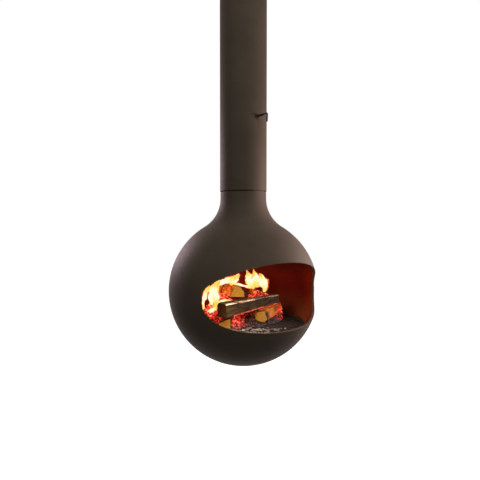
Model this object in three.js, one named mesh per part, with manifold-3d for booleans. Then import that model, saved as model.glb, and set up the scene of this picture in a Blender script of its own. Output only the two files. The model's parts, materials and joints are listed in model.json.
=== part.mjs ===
// Hanging fireplace: a steel ball hearth that hangs from, and turns under, a fixed flue pipe.
// Millimetres, +Z up. The origin is on the flue's axis in the plane of the ceiling, and the
// hearth's opening faces -Y. Pieces that touch keep TOUCH between them.
import * as THREE from 'three';
import { mergeVertices } from 'three/addons/utils/BufferGeometryUtils.js';
import Module from 'manifold-3d';

const wasm = await Module();
wasm.setup();

// ---- Driving dimensions ----

const TOUCH = 0.3;
const ROUND_SIDES = 48;
const RING_SIDES = 32;
const SMALL_SIDES = 16;
const FASTENER_SIDES = 8;

// Hearth, measured from the ball's centre.
const BALL_RADIUS = 400;
const BALL_CENTRE_Z = -1760;
const SHELL_WALL = 3;
const NECK_RADIUS = 123;
const NECK_FILLET = 178;
const FOOT_WELD = -290;
const NECK_WELD = 330;
const SEAM_HEIGHT = 527;
const SEAM_GAP = 4.5;

// Opening in the ball, as seen from the front.
const OPENING_HALF_WIDTH = 360;
const OPENING_MID_Z = 16;
const OPENING_RISE = 154;
const OPENING_DROP = 172;
const OPENING_DROP_POWER = 3;
const RIM_THICKNESS = 5;
const RIM_DEPTH = 16;

// Fixed flue.
const PIPE_RADIUS = 125;
const PIPE_WALL = 3;
const PIPE_BORE = PIPE_RADIUS - PIPE_WALL;
const PLATE_RADIUS = 190;
const PLATE_THICKNESS = 8;
const FLANGE_RADIUS = 168;
const FLANGE_THICKNESS = 6;
const FLANGE_LEG = 40;
const BOLT_CIRCLE = 149;
const ANCHOR_CIRCLE = 176;
const COVER_RADIUS = 215;
const COVER_DEPTH = 92;
const COVER_WALL = 2;

// Damper, measured from the shaft's axis.
const DAMPER_HEIGHT = 908;
const SHAFT_RADIUS = 6;
const SHAFT_FRONT = 168;
const SHAFT_REAR = 138;
const SHAFT_CLEARANCE = 0.3;
const HANDLE_RADIUS = 4.6;
const HANDLE_REACH = 207;
const HANDLE_DROP = 42;
const DAMPER_RADIUS = 118;
const DAMPER_THICKNESS = 3;
const SADDLE_WALL = 2;
const SADDLE_WIDTH = 16;
const SADDLE_PLACE = 62;

// Pivot, measured from the seam between pipe and hearth.
const SPIGOT_RADIUS = 98;
const SPIGOT_WALL = 4;
const SEAT_Z = 6;
const SEAT_THICKNESS = 8;
const WASHER_THICKNESS = 4;
const COLLAR_THICKNESS = 12;
const LOCK_THICKNESS = 6;
const NECK_RING_TOP = -8;
const NECK_RING_THICKNESS = 10;
const SPIGOT_FLANGE_THICKNESS = 6;
const SPIGOT_SCREW_CIRCLE = 108;

// Fire grate and ash pan, measured from the ball's centre.
const GRATE_RADIUS = 330;
const GRATE_TOP = -172;
const GRATE_THICKNESS = 12;
const BAR_WIDTH = 8;
const BAR_PITCH = 28;
const PAN_FLOOR = -305;
const PAN_HEIGHT = 66;
const PAN_RADIUS = 205;
const PAN_WALL = 2;

const AXIS_X = new THREE.Vector3(1, 0, 0);
const AXIS_Y = new THREE.Vector3(0, 1, 0);
const AXIS_Z = new THREE.Vector3(0, 0, 1);

// ---- Finishes ----

function finish(color, roughness, metalness) {
  return new THREE.MeshStandardMaterial({ color, roughness, metalness });
}

const BROWN_BLACK = 0x3a322d;
const HEAT_DARKENED = 0x3b1712;
const BARE_STEEL = 0x8b8a88;
const CAST_IRON = 0x26221f;

const paintedSteel = () => finish(BROWN_BLACK, 0.55, 0.4);
const insideSteel = () => finish(HEAT_DARKENED, 0.7, 0.3);
const bareSteel = () => finish(BARE_STEEL, 0.4, 1);
const castIron = () => finish(CAST_IRON, 0.8, 0.6);
const bronze = () => finish(0xa9763a, 0.4, 1);
const ropeSeal = () => finish(0x4a4846, 0.95, 0);
const charredWood = () => finish(0x3a3026, 0.9, 0);
const paleWood = () => finish(0xa8702c, 0.85, 0);
const glowingEmbers = () => finish(0xc22a12, 0.9, 0);

// ---- Geometry helpers ----

// A body of revolution about Z. The profile is [radius, z] pairs, anticlockwise.
function revolve(profile, sides = ROUND_SIDES) {
  const points = profile.map(([radius, z]) => new THREE.Vector2(radius, z));
  return new THREE.LatheGeometry(points, sides).rotateX(Math.PI / 2);
}

function ring(inner, outer, bottom, top, sides = RING_SIDES) {
  const profile = [[inner, bottom], [outer, bottom], [outer, top], [inner, top], [inner, bottom]];
  return revolve(profile, sides);
}

function disc(radius, bottom, top, sides = ROUND_SIDES) {
  return revolve([[0, bottom], [radius, bottom], [radius, top], [0, top]], sides);
}

// Radius of a bore that clears a round bar, and of a disc that clears a round bore.
function around(radius, sides = RING_SIDES) {
  return (radius + TOUCH) / Math.cos(Math.PI / sides);
}

function within(bore, sides = ROUND_SIDES) {
  return bore * Math.cos(Math.PI / sides) - TOUCH;
}

// Points on an arc about (centreR, centreZ), both ends included.
function arc(centreR, centreZ, radius, startAngle, endAngle, steps) {
  return Array.from({ length: steps + 1 }, (_, i) => {
    const angle = startAngle + ((endAngle - startAngle) * i) / steps;
    return [centreR + radius * Math.cos(angle), centreZ + radius * Math.sin(angle)];
  });
}

function box(x, y, z, centreX, centreY, centreZ) {
  return new THREE.BoxGeometry(x, y, z).translate(centreX, centreY, centreZ);
}

// Turns a geometry that was drawn in X, Y and Z so that they run along three other directions.
function reorient(geometry, xGoes, yGoes, zGoes) {
  return geometry.applyMatrix4(new THREE.Matrix4().makeBasis(xGoes, yGoes, zGoes));
}

// A round bar that follows a path, with an even number of sides.
function bar(radius, path, steps, sides) {
  const section = new THREE.Shape().absarc(0, 0, radius, 0, 2 * Math.PI, false);
  return new THREE.ExtrudeGeometry(section, {
    steps,
    curveSegments: sides / 2,
    bevelEnabled: false,
    extrudePath: path,
  });
}

function solid(geometry) {
  const bare = geometry.clone();
  bare.deleteAttribute('normal');
  bare.deleteAttribute('uv');
  const merged = mergeVertices(bare, 1e-4);
  const vertProperties = new Float32Array(merged.attributes.position.array);
  const triVerts = new Uint32Array(merged.index.array);
  return new wasm.Manifold(new wasm.Mesh({ numProp: 3, vertProperties, triVerts }));
}

function surface(manifold) {
  const { vertProperties, triVerts } = manifold.getMesh();
  const geometry = new THREE.BufferGeometry();
  geometry.setAttribute('position', new THREE.BufferAttribute(vertProperties, 3));
  geometry.setIndex(new THREE.BufferAttribute(triVerts, 1));
  geometry.computeVertexNormals();
  return geometry;
}

function cut(geometry, ...tools) {
  const left = tools.reduce((rest, tool) => rest.subtract(solid(tool)), solid(geometry));
  return surface(left);
}

function join(...geometries) {
  return surface(geometries.map(solid).reduce((all, next) => all.add(next)));
}

// Cylinders that stand along Z on a circle, one for each angle in degrees.
function posts(radius, circle, angles, bottom, top) {
  return angles.map((degrees) => {
    const angle = THREE.MathUtils.degToRad(degrees);
    const post = disc(radius, bottom, top, FASTENER_SIDES);
    return post.translate(circle * Math.cos(angle), circle * Math.sin(angle), 0);
  });
}

// A hexagon-headed screw along Z with its head at the bottom and its shank upwards.
function hexScrew(shankRadius, headRadius, headHeight, shankLength) {
  const head = disc(headRadius, -headHeight, 0, 6);
  const shank = disc(shankRadius, -0.5, shankLength, FASTENER_SIDES);
  return join(head, shank);
}

function piece(parent, name, geometry, material) {
  const mesh = new THREE.Mesh(geometry, material);
  mesh.name = name;
  parent.add(mesh);
  return mesh;
}

// ---- Ceiling fittings and flue pipe ----

const FASTENER_ANGLES = [45, 135, 225, 315];
const ANCHOR_ANGLES = [0, 90, 180, 270];

function ceilingPlate() {
  const holes = [
    ...posts(4.3, BOLT_CIRCLE, FASTENER_ANGLES, -PLATE_THICKNESS - 1, 1),
    ...posts(6, ANCHOR_CIRCLE, ANCHOR_ANGLES, -PLATE_THICKNESS - 1, 1),
  ];
  return cut(ring(PIPE_BORE, PLATE_RADIUS, -PLATE_THICKNESS, 0), ...holes);
}

// An angle ring that stands round the pipe's top end and carries the whole weight.
function flueFlange() {
  const top = -PLATE_THICKNESS - TOUCH;
  const inner = around(PIPE_RADIUS);
  const leg = inner + FLANGE_THICKNESS;
  const underside = top - FLANGE_THICKNESS;
  const profile = [
    [inner, top - FLANGE_LEG],
    [leg, top - FLANGE_LEG],
    [leg, underside],
    [FLANGE_RADIUS, underside],
    [FLANGE_RADIUS, top],
    [inner, top],
    [inner, top - FLANGE_LEG],
  ];
  const holes = posts(4.5, BOLT_CIRCLE, FASTENER_ANGLES, underside - 1, top + 1);
  return cut(revolve(profile, RING_SIDES), ...holes);
}

// A spun cup that hides the plate and the flange, with a short sleeve round the pipe.
function ceilingCover() {
  const top = -1;
  const floor = top - COVER_DEPTH;
  const sleeve = PIPE_RADIUS + 2;
  const corner = 10;
  const outerCorner = arc(COVER_RADIUS - corner, floor + corner, corner, -Math.PI / 2, 0, 2);
  const innerCorner = arc(
    COVER_RADIUS - corner, floor + corner, corner - COVER_WALL, 0, -Math.PI / 2, 2);
  const profile = [
    [sleeve, floor - 20],
    [sleeve + COVER_WALL, floor - 20],
    [sleeve + COVER_WALL, floor],
    ...outerCorner,
    [COVER_RADIUS, top],
    [COVER_RADIUS - COVER_WALL, top],
    ...innerCorner,
    [sleeve, floor + COVER_WALL],
    [sleeve, floor - 20],
  ];
  const holes = coverScrewPlaces().map((place) => screwHole(place, floor - 10));
  return cut(revolve(profile, RING_SIDES), ...holes);
}

function coverScrewPlaces() {
  return [30, 150, 270].map((degrees) => THREE.MathUtils.degToRad(degrees));
}

function screwHole(angle, z) {
  const hole = disc(2.6, 0, COVER_RADIUS, FASTENER_SIDES).rotateY(Math.PI / 2);
  return hole.rotateZ(angle).translate(0, 0, z);
}

// A knurled screw that stands through the cover's sleeve and ends at the pipe.
function coverScrew() {
  const tip = disc(2.2, PIPE_RADIUS + TOUCH, PIPE_RADIUS + 8, FASTENER_SIDES);
  const knob = disc(5, PIPE_RADIUS + 5, PIPE_RADIUS + 11, FASTENER_SIDES);
  return join(tip, knob).rotateY(Math.PI / 2);
}

function fluePipe() {
  const top = -PLATE_THICKNESS - TOUCH;
  const bottom = BALL_CENTRE_Z + SEAM_HEIGHT + SEAM_GAP / 2;
  const bushHole = disc(11.3, -2 * PIPE_RADIUS, 2 * PIPE_RADIUS, SMALL_SIDES)
    .rotateX(Math.PI / 2)
    .translate(0, 0, BALL_CENTRE_Z + DAMPER_HEIGHT);
  return cut(ring(PIPE_BORE, PIPE_RADIUS, bottom, top, ROUND_SIDES), bushHole);
}

function addFlue(parent) {
  piece(parent, 'ceiling_plate', ceilingPlate(), bareSteel());
  piece(parent, 'flue_flange', flueFlange(), paintedSteel());
  FASTENER_ANGLES.forEach((degrees, i) => {
    const angle = THREE.MathUtils.degToRad(degrees);
    const head = PLATE_THICKNESS + FLANGE_THICKNESS + 2 * TOUCH;
    const bolt = piece(parent, `flange_bolt_${i + 1}`, hexScrew(4, 7, 5.5, head - 1), bareSteel());
    bolt.position.set(BOLT_CIRCLE * Math.cos(angle), BOLT_CIRCLE * Math.sin(angle), -head);
  });
  piece(parent, 'ceiling_cover', ceilingCover(), paintedSteel());
  coverScrewPlaces().forEach((angle, i) => {
    const screw = piece(parent, `cover_screw_${i + 1}`, coverScrew(), paintedSteel());
    screw.position.z = -1 - COVER_DEPTH - 10;
    screw.rotation.z = angle;
  });
  piece(parent, 'flue_pipe', fluePipe(), paintedSteel());
}

// ---- Damper ----

const BUSH_FLANGE_INNER = PIPE_RADIUS + 0.6;
const BUSH_FLANGE_OUTER = BUSH_FLANGE_INNER + 3;
const COLLAR_WIDTH = 5;

// A flanged bush through the pipe's wall. It is drawn along Z, pointing out of the pipe.
function damperBush() {
  const bore = SHAFT_RADIUS + SHAFT_CLEARANCE;
  return revolve(
    [
      [bore, PIPE_BORE - 2],
      [11, PIPE_BORE - 2],
      [11, BUSH_FLANGE_INNER],
      [15, BUSH_FLANGE_INNER],
      [15, BUSH_FLANGE_OUTER],
      [bore, BUSH_FLANGE_OUTER],
      [bore, PIPE_BORE - 2],
    ],
    SMALL_SIDES,
  );
}

function shaftCollar() {
  const start = BUSH_FLANGE_OUTER + 0.4;
  return ring(SHAFT_RADIUS + TOUCH, 9.5, start, start + COLLAR_WIDTH, SMALL_SIDES);
}

// The shaft is drawn along Z with its front end up, which has a bore for the handle's tail.
function damperShaft() {
  const shaft = disc(SHAFT_RADIUS, -SHAFT_REAR, SHAFT_FRONT, SMALL_SIDES);
  const bore = disc(3.4, SHAFT_FRONT - 20, SHAFT_FRONT + 1, FASTENER_SIDES);
  return cut(shaft, bore);
}

// A round bar that comes forward out of the shaft and is bent straight down.
function damperHandle() {
  const start = new THREE.Vector3(0, -SHAFT_FRONT - TOUCH, 0);
  const bendStart = new THREE.Vector3(0, -HANDLE_REACH + 9, 0);
  const corner = new THREE.Vector3(0, -HANDLE_REACH, 0);
  const bendEnd = new THREE.Vector3(0, -HANDLE_REACH + 0.5, -9);
  const end = new THREE.Vector3(0, -HANDLE_REACH + 3, -HANDLE_DROP);
  const path = new THREE.CurvePath();
  path.add(new THREE.LineCurve3(start, bendStart));
  path.add(new THREE.QuadraticBezierCurve3(bendStart, corner, bendEnd));
  path.add(new THREE.LineCurve3(bendEnd, end));
  const tail = disc(3, SHAFT_FRONT - 18, SHAFT_FRONT + 4, FASTENER_SIDES).rotateX(Math.PI / 2);
  return join(bar(HANDLE_RADIUS, path, 20, 10), tail);
}

const RIVET_OFFSET = 14.5;

// The disc that closes the pipe, with a draught hole. It stands upright, beside the shaft.
function damperPlate() {
  const plate = disc(DAMPER_RADIUS, 0, DAMPER_THICKNESS, RING_SIDES);
  const hole = (radius, sides) => disc(radius, -1, DAMPER_THICKNESS + 1, sides);
  const holes = [hole(20, SMALL_SIDES).translate(0, 76, 0)];
  for (const along of [-SADDLE_PLACE, SADDLE_PLACE]) {
    for (const across of [-RIVET_OFFSET, RIVET_OFFSET]) {
      holes.push(hole(2.3, FASTENER_SIDES).translate(along, across, 0));
    }
  }
  const pierced = cut(plate, ...holes);
  return reorient(pierced, AXIS_Y, AXIS_Z, AXIS_X).translate(SHAFT_RADIUS + TOUCH, 0, 0);
}

// A strap bent over the shaft with a foot on each side, which clamps it to the plate.
function damperSaddle() {
  const inner = SHAFT_RADIUS + TOUCH;
  const outer = inner + SADDLE_WALL;
  const foot = RIVET_OFFSET + 5.5;
  const face = -SHAFT_RADIUS;
  const outline = new THREE.Shape();
  outline.moveTo(foot, face);
  outline.lineTo(foot, face + SADDLE_WALL);
  outline.lineTo(outer, face + SADDLE_WALL);
  outline.lineTo(outer, 0);
  outline.absarc(0, 0, outer, 0, Math.PI, false);
  outline.lineTo(-outer, face + SADDLE_WALL);
  outline.lineTo(-foot, face + SADDLE_WALL);
  outline.lineTo(-foot, face);
  outline.lineTo(-inner, face);
  outline.lineTo(-inner, 0);
  outline.absarc(0, 0, inner, Math.PI, 0, true);
  outline.lineTo(inner, face);
  outline.closePath();
  const strap = new THREE.ExtrudeGeometry(outline, {
    depth: SADDLE_WIDTH,
    curveSegments: 8,
    bevelEnabled: false,
  });
  strap.translate(0, 0, -SADDLE_WIDTH / 2);
  reorient(strap, AXIS_Z, AXIS_X.clone().negate(), AXIS_Y.clone().negate());
  const holes = [-RIVET_OFFSET, RIVET_OFFSET].map((z) =>
    disc(2.3, 0, 20, FASTENER_SIDES).rotateY(Math.PI / 2).translate(0, 0, z));
  return cut(strap, ...holes);
}

// A rivet along X that holds a saddle's foot to the plate.
function damperRivet() {
  const footFace = SHAFT_RADIUS - SADDLE_WALL - TOUCH;
  const plateFace = SHAFT_RADIUS + DAMPER_THICKNESS + 2 * TOUCH;
  const head = 1.8;
  return join(
    disc(3.6, footFace - head, footFace, FASTENER_SIDES),
    disc(1.9, footFace - 0.5, plateFace + 0.5, FASTENER_SIDES),
    disc(3.6, plateFace, plateFace + head, FASTENER_SIDES),
  ).rotateY(Math.PI / 2);
}

function addDamper(parent) {
  const damper = new THREE.Group();
  damper.position.z = BALL_CENTRE_Z + DAMPER_HEIGHT;
  parent.add(damper);
  for (const [side, turn] of [['front', Math.PI / 2], ['rear', -Math.PI / 2]]) {
    piece(damper, `damper_bush_${side}`, damperBush(), bronze()).rotation.x = turn;
    piece(damper, `shaft_collar_${side}`, shaftCollar(), paintedSteel()).rotation.x = turn;
  }
  piece(damper, 'damper_shaft', damperShaft(), castIron()).rotation.x = Math.PI / 2;
  piece(damper, 'damper_handle', damperHandle(), castIron());
  piece(damper, 'damper_plate', damperPlate(), bareSteel());
  let rivetCount = 0;
  for (const [side, y] of [['front', -SADDLE_PLACE], ['rear', SADDLE_PLACE]]) {
    piece(damper, `damper_saddle_${side}`, damperSaddle(), bareSteel()).position.y = y;
    for (const z of [-RIVET_OFFSET, RIVET_OFFSET]) {
      rivetCount += 1;
      const rivet = piece(damper, `damper_rivet_${rivetCount}`, damperRivet(), bareSteel());
      rivet.position.set(0, y, z);
    }
  }
}

// ---- Pivot between pipe and hearth ----

// The spigot is a tube with a flange at its foot. It carries the hearth and the smoke path.
function neckSpigot(top) {
  const flangeTop = NECK_RING_TOP - NECK_RING_THICKNESS - TOUCH;
  const foot = flangeTop - SPIGOT_FLANGE_THICKNESS;
  const bore = SPIGOT_RADIUS - SPIGOT_WALL;
  const profile = [
    [bore, foot],
    [SPIGOT_RADIUS + 19, foot],
    [SPIGOT_RADIUS + 19, flangeTop],
    [SPIGOT_RADIUS, flangeTop],
    [SPIGOT_RADIUS, top],
    [bore, top],
    [bore, foot],
  ];
  const holes = posts(3.3, SPIGOT_SCREW_CIRCLE, FASTENER_ANGLES, foot - 1, flangeTop + 1);
  return cut(revolve(profile, RING_SIDES), ...holes);
}

function neckRing() {
  const bottom = NECK_RING_TOP - NECK_RING_THICKNESS;
  const outer = within(NECK_RADIUS - SHELL_WALL);
  const holes = posts(3.3, SPIGOT_SCREW_CIRCLE, FASTENER_ANGLES, bottom - 1, NECK_RING_TOP + 1);
  return cut(ring(around(SPIGOT_RADIUS), outer, bottom, NECK_RING_TOP), ...holes);
}

// A rope ring that fills the height between the neck ring and the seat.
function smokeSeal() {
  const middle = (NECK_RING_TOP + SEAT_Z) / 2;
  const radius = (SEAT_Z - NECK_RING_TOP) / 2 - TOUCH;
  return revolve(arc(109, middle, radius, 0, 2 * Math.PI, 8), RING_SIDES);
}

function addPivot(parent) {
  const pivot = new THREE.Group();
  pivot.position.z = BALL_CENTRE_Z + SEAM_HEIGHT;
  parent.add(pivot);
  const washerZ = SEAT_Z + SEAT_THICKNESS + TOUCH;
  const collarZ = washerZ + WASHER_THICKNESS + TOUCH;
  const lockZ = collarZ + COLLAR_THICKNESS + TOUCH;
  const spigotTop = lockZ + LOCK_THICKNESS + 10;
  const onSpigot = around(SPIGOT_RADIUS);
  const seat = ring(SPIGOT_RADIUS + 2.5, within(PIPE_BORE), SEAT_Z, SEAT_Z + SEAT_THICKNESS);
  piece(pivot, 'pivot_seat_ring', seat, paintedSteel());
  const washer = ring(SPIGOT_RADIUS + 4, 118, washerZ, washerZ + WASHER_THICKNESS);
  piece(pivot, 'thrust_washer', washer, bronze());
  const collar = ring(onSpigot, 118, collarZ, collarZ + COLLAR_THICKNESS);
  piece(pivot, 'hanging_collar', collar, bareSteel());
  piece(pivot, 'collar_lock_ring', ring(onSpigot, 110, lockZ, lockZ + LOCK_THICKNESS), bareSteel());
  piece(pivot, 'neck_spigot', neckSpigot(spigotTop), bareSteel());
  piece(pivot, 'neck_ring', neckRing(), paintedSteel());
  piece(pivot, 'smoke_seal', smokeSeal(), ropeSeal());
  FASTENER_ANGLES.forEach((degrees, i) => {
    const angle = THREE.MathUtils.degToRad(degrees);
    const head = NECK_RING_TOP - NECK_RING_THICKNESS - SPIGOT_FLANGE_THICKNESS - 2 * TOUCH;
    const length = NECK_RING_TOP - head - 0.5;
    const screw = piece(pivot, `spigot_screw_${i + 1}`, hexScrew(2.9, 5.5, 4, length), bareSteel());
    screw.position.set(
      SPIGOT_SCREW_CIRCLE * Math.cos(angle), SPIGOT_SCREW_CIRCLE * Math.sin(angle), head);
  });
}

// ---- Hearth shell and opening ----

// Half of the outline of the hearth, grown outwards by a distance, from its foot to its neck.
function hearthOutline(grow, ballSteps, filletSteps) {
  const reach = BALL_RADIUS + NECK_FILLET;
  const filletR = NECK_RADIUS + NECK_FILLET;
  const filletZ = Math.sqrt(reach ** 2 - filletR ** 2);
  const tangent = Math.atan2(filletZ, filletR);
  const ball = arc(0, 0, BALL_RADIUS + grow, -Math.PI / 2, tangent, ballSteps);
  const fillet = arc(
    filletR, filletZ, NECK_FILLET - grow, tangent + Math.PI, Math.PI, filletSteps).slice(1);
  ball[0][0] = 0;
  return [...ball, ...fillet, [NECK_RADIUS + grow, SEAM_HEIGHT - SEAM_GAP / 2]];
}

function outerOutline() {
  return hearthOutline(0, 22, 6);
}

function innerOutline(clearance) {
  return hearthOutline(-SHELL_WALL - clearance, 11, 4);
}

function closedToAxis(outline) {
  return revolve([...outline, [0, outline[outline.length - 1][1]]]);
}

// The opening's outline, an ellipse above its widest line and a squarer curve below it,
// pushed through the front half of the ball.
function openingPrism(grow) {
  const points = 44;
  const outline = Array.from({ length: points }, (_, i) => {
    const angle = (2 * Math.PI * i) / points;
    const upper = Math.sin(angle) >= 0;
    const power = upper ? 2 : OPENING_DROP_POWER;
    const height = (upper ? OPENING_RISE : OPENING_DROP) + grow;
    const curve = (value) => Math.sign(value) * Math.abs(value) ** (2 / power);
    return new THREE.Vector2(
      (OPENING_HALF_WIDTH + grow) * curve(Math.cos(angle)),
      OPENING_MID_Z + height * curve(Math.sin(angle)),
    );
  });
  const depth = BALL_RADIUS + 20;
  return new THREE.ExtrudeGeometry(new THREE.Shape(outline), { depth, bevelEnabled: false })
    .rotateX(Math.PI / 2);
}

// The slice of the shell between two heights, with the opening cut through it.
function shellSlice(bottom, top) {
  const wall = solid(revolve([...outerOutline(), ...innerOutline(0).reverse()]));
  const span = 2 * BALL_RADIUS + 20;
  const slab = solid(box(span, span, top - bottom, 0, 0, (top + bottom) / 2));
  return cut(surface(wall.intersect(slab)), openingPrism(RIM_THICKNESS + TOUCH));
}

// A foot dish, two spun zones and a flared neck, each welded to the next and dressed smooth.
function addShell(parent) {
  const half = TOUCH / 2;
  piece(parent, 'hearth_foot', shellSlice(-BALL_RADIUS - 1, FOOT_WELD - half), paintedSteel());
  piece(parent, 'hearth_bowl', shellSlice(FOOT_WELD + half, -half), paintedSteel());
  piece(parent, 'hearth_dome', shellSlice(half, NECK_WELD - half), paintedSteel());
  piece(parent, 'hearth_neck', shellSlice(NECK_WELD + half, SEAM_HEIGHT), paintedSteel());
}

// A flat bar rolled round the opening and dressed flush with the ball.
function openingRim() {
  const ball = solid(closedToAxis(outerOutline()));
  const skin = ball.subtract(ball.translate([0, RIM_DEPTH, 0]));
  const band = solid(openingPrism(RIM_THICKNESS)).subtract(solid(openingPrism(0)));
  return surface(skin.intersect(band));
}

// ---- Grate, ash pan and their supports ----

// A flat ring whose outer edge follows the inside of the ball.
function supportRing(inner, top) {
  const thickness = 4;
  const flat = ring(inner, BALL_RADIUS, top - thickness, top, ROUND_SIDES);
  const hollow = closedToAxis(innerOutline(TOUCH));
  return surface(solid(flat).intersect(solid(hollow)));
}

// A cast disc with slots between its bars and a web across its middle.
function fireGrate() {
  const bottom = GRATE_TOP - GRATE_THICKNESS;
  const middle = (GRATE_TOP + bottom) / 2;
  const slotWidth = BAR_PITCH - BAR_WIDTH;
  const slotReach = GRATE_RADIUS - 12;
  const lastSlot = Math.floor(slotReach / BAR_PITCH - 0.5);
  const slots = [];
  for (let i = -lastSlot - 1; i <= lastSlot; i += 1) {
    const y = (i + 0.5) * BAR_PITCH;
    const end = Math.sqrt(slotReach ** 2 - (Math.abs(y) + slotWidth / 2) ** 2);
    const length = end - BAR_WIDTH / 2;
    for (const side of [-1, 1]) {
      const x = side * (BAR_WIDTH / 2 + length / 2);
      slots.push(box(length, slotWidth, GRATE_THICKNESS + 2, x, y, middle));
    }
  }
  return cut(disc(GRATE_RADIUS, bottom, GRATE_TOP), ...slots);
}

function ashPan() {
  const flare = 12;
  const lip = 8;
  const top = PAN_FLOOR + PAN_HEIGHT;
  return revolve([
    [0, PAN_FLOOR],
    [PAN_RADIUS, PAN_FLOOR],
    [PAN_RADIUS + flare, top - PAN_WALL],
    [PAN_RADIUS + flare + lip, top - PAN_WALL],
    [PAN_RADIUS + flare + lip, top],
    [PAN_RADIUS + flare - PAN_WALL, top],
    [PAN_RADIUS - PAN_WALL, PAN_FLOOR + PAN_WALL],
    [0, PAN_FLOOR + PAN_WALL],
  ], RING_SIDES);
}

// A loop of round bar that stands on the pan's floor.
function ashPanHandle() {
  const radius = 4;
  const half = 60;
  const foot = PAN_FLOOR + PAN_WALL + TOUCH;
  const top = foot + 48;
  const bend = 14;
  const path = new THREE.CurvePath();
  const at = (x, z) => new THREE.Vector3(x, 0, z);
  path.add(new THREE.LineCurve3(at(-half, foot), at(-half, top - bend)));
  path.add(new THREE.QuadraticBezierCurve3(
    at(-half, top - bend), at(-half, top), at(-half + bend, top)));
  path.add(new THREE.LineCurve3(at(-half + bend, top), at(half - bend, top)));
  path.add(new THREE.QuadraticBezierCurve3(
    at(half - bend, top), at(half, top), at(half, top - bend)));
  path.add(new THREE.LineCurve3(at(half, top - bend), at(half, foot)));
  return bar(radius, path, 24, 8);
}

// ---- Logs and embers ----

// Each log runs from its near end to its far end. Width and height are those of the near end,
// and the far end is the near one times taper. A higher power makes a squarer section.
const LOGS = {
  log_front: {
    near: [-230, -145, -68], far: [148, -101, -47], width: 80, height: 80, taper: 0.6,
    power: 3.2, phase: 0.4, finish: charredWood,
  },
  log_upper: {
    near: [-80, -62, 2], far: [95, 140, -66], width: 92, height: 72, taper: 0.85,
    power: 2.6, phase: 2.1, finish: paleWood,
  },
  log_lower_left: {
    near: [-203, -128, -137], far: [-30, 112, -135], width: 70, height: 56, taper: 1,
    power: 3.4, phase: 1.2, finish: paleWood,
  },
  log_lower_right: {
    near: [14, -138, -126], far: [262, 30, -122], width: 84, height: 68, taper: 0.9,
    power: 2.2, phase: 3.3, finish: paleWood,
  },
};

// A split log along X from its near end, with an uneven section that changes along its length.
function splitLog({ width, height, taper, power, phase }, length, grow) {
  const sides = 14;
  const stations = 6;
  const log = new THREE.CylinderGeometry(1, 1, length + 2 * grow, sides, stations);
  log.rotateZ(-Math.PI / 2).translate(length / 2, 0, 0);
  const position = log.attributes.position;
  for (let i = 0; i < position.count; i += 1) {
    const along = THREE.MathUtils.clamp(position.getX(i) / length, 0, 1);
    const y = position.getY(i);
    const z = position.getZ(i);
    const angle = Math.atan2(z, y);
    const corner = Math.abs(Math.cos(angle)) ** power + Math.abs(Math.sin(angle)) ** power;
    const uneven = 1 + 0.06 * Math.sin(3 * angle + phase + 2 * along);
    const reach = Math.hypot(y, z) * corner ** (-1 / power) * uneven * (1 + (taper - 1) * along);
    position.setY(i, Math.cos(angle) * reach * (width / 2 + grow));
    position.setZ(i, Math.sin(angle) * reach * (height / 2 + grow));
  }
  log.computeVertexNormals();
  return log;
}

// The turn and place that lay a log from its near end to its far end.
function logPlace({ near, far }) {
  const start = new THREE.Vector3(...near);
  const along = new THREE.Vector3(...far).sub(start).normalize();
  const across = new THREE.Vector3().crossVectors(AXIS_Z, along).normalize();
  const up = new THREE.Vector3().crossVectors(along, across);
  return new THREE.Matrix4().makeBasis(along, across, up).setPosition(start);
}

function logLength({ near, far }) {
  return new THREE.Vector3(...near).distanceTo(new THREE.Vector3(...far));
}

// The bed of embers is an oval, low at the front and heaped up behind the logs.
const BED_PLACE = [0, 50];
const BED_HALF_WIDTH = 275;
const BED_HALF_DEPTH = 200;
const BED_HEIGHT = 36;
const HEAPS = [
  { x: 150, y: 25, height: 120, spread: 95 },
  { x: -60, y: 75, height: 115, spread: 90 },
  { x: -190, y: 0, height: 60, spread: 80 },
  { x: 215, y: -60, height: 80, spread: 75 },
];

// Height of the bed over a place that is given in fractions of its half width and depth.
function bedHeight(u, v) {
  const inward = Math.sqrt(Math.max(0, 1 - u * u - v * v));
  const heaped = HEAPS.map(({ x, y, height, spread }) => {
    const away = Math.hypot(u * BED_HALF_WIDTH - x, v * BED_HALF_DEPTH - y) / spread;
    return height * Math.exp(-away * away);
  });
  return inward * (BED_HEIGHT + heaped.reduce((sum, height) => sum + height, 0));
}

// The bed of embers, with the places of the logs cut out of it.
function emberBed() {
  const rings = 8;
  const top = Array.from({ length: rings }, (_, i) => [1 - (i + 1) / rings, 1]);
  const bed = revolve([[0, 0], [1, 0], ...top], 36);
  const position = bed.attributes.position;
  for (let i = 0; i < position.count; i += 1) {
    const u = position.getX(i);
    const v = position.getY(i);
    const height = position.getZ(i) * bedHeight(u, v);
    position.setXYZ(i, u * BED_HALF_WIDTH, v * BED_HALF_DEPTH, height);
  }
  bed.translate(...BED_PLACE, GRATE_TOP + TOUCH);
  const beds = Object.values(LOGS).map((log) =>
    splitLog(log, logLength(log), 2 * TOUCH).applyMatrix4(logPlace(log)));
  return cut(bed, ...beds);
}

function addFire(parent) {
  piece(parent, 'fire_grate', fireGrate(), castIron());
  for (const [name, log] of Object.entries(LOGS)) {
    const mesh = piece(parent, name, splitLog(log, logLength(log), 0), log.finish());
    mesh.applyMatrix4(logPlace(log));
  }
  piece(parent, 'ember_bed', emberBed(), glowingEmbers());
}

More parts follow.
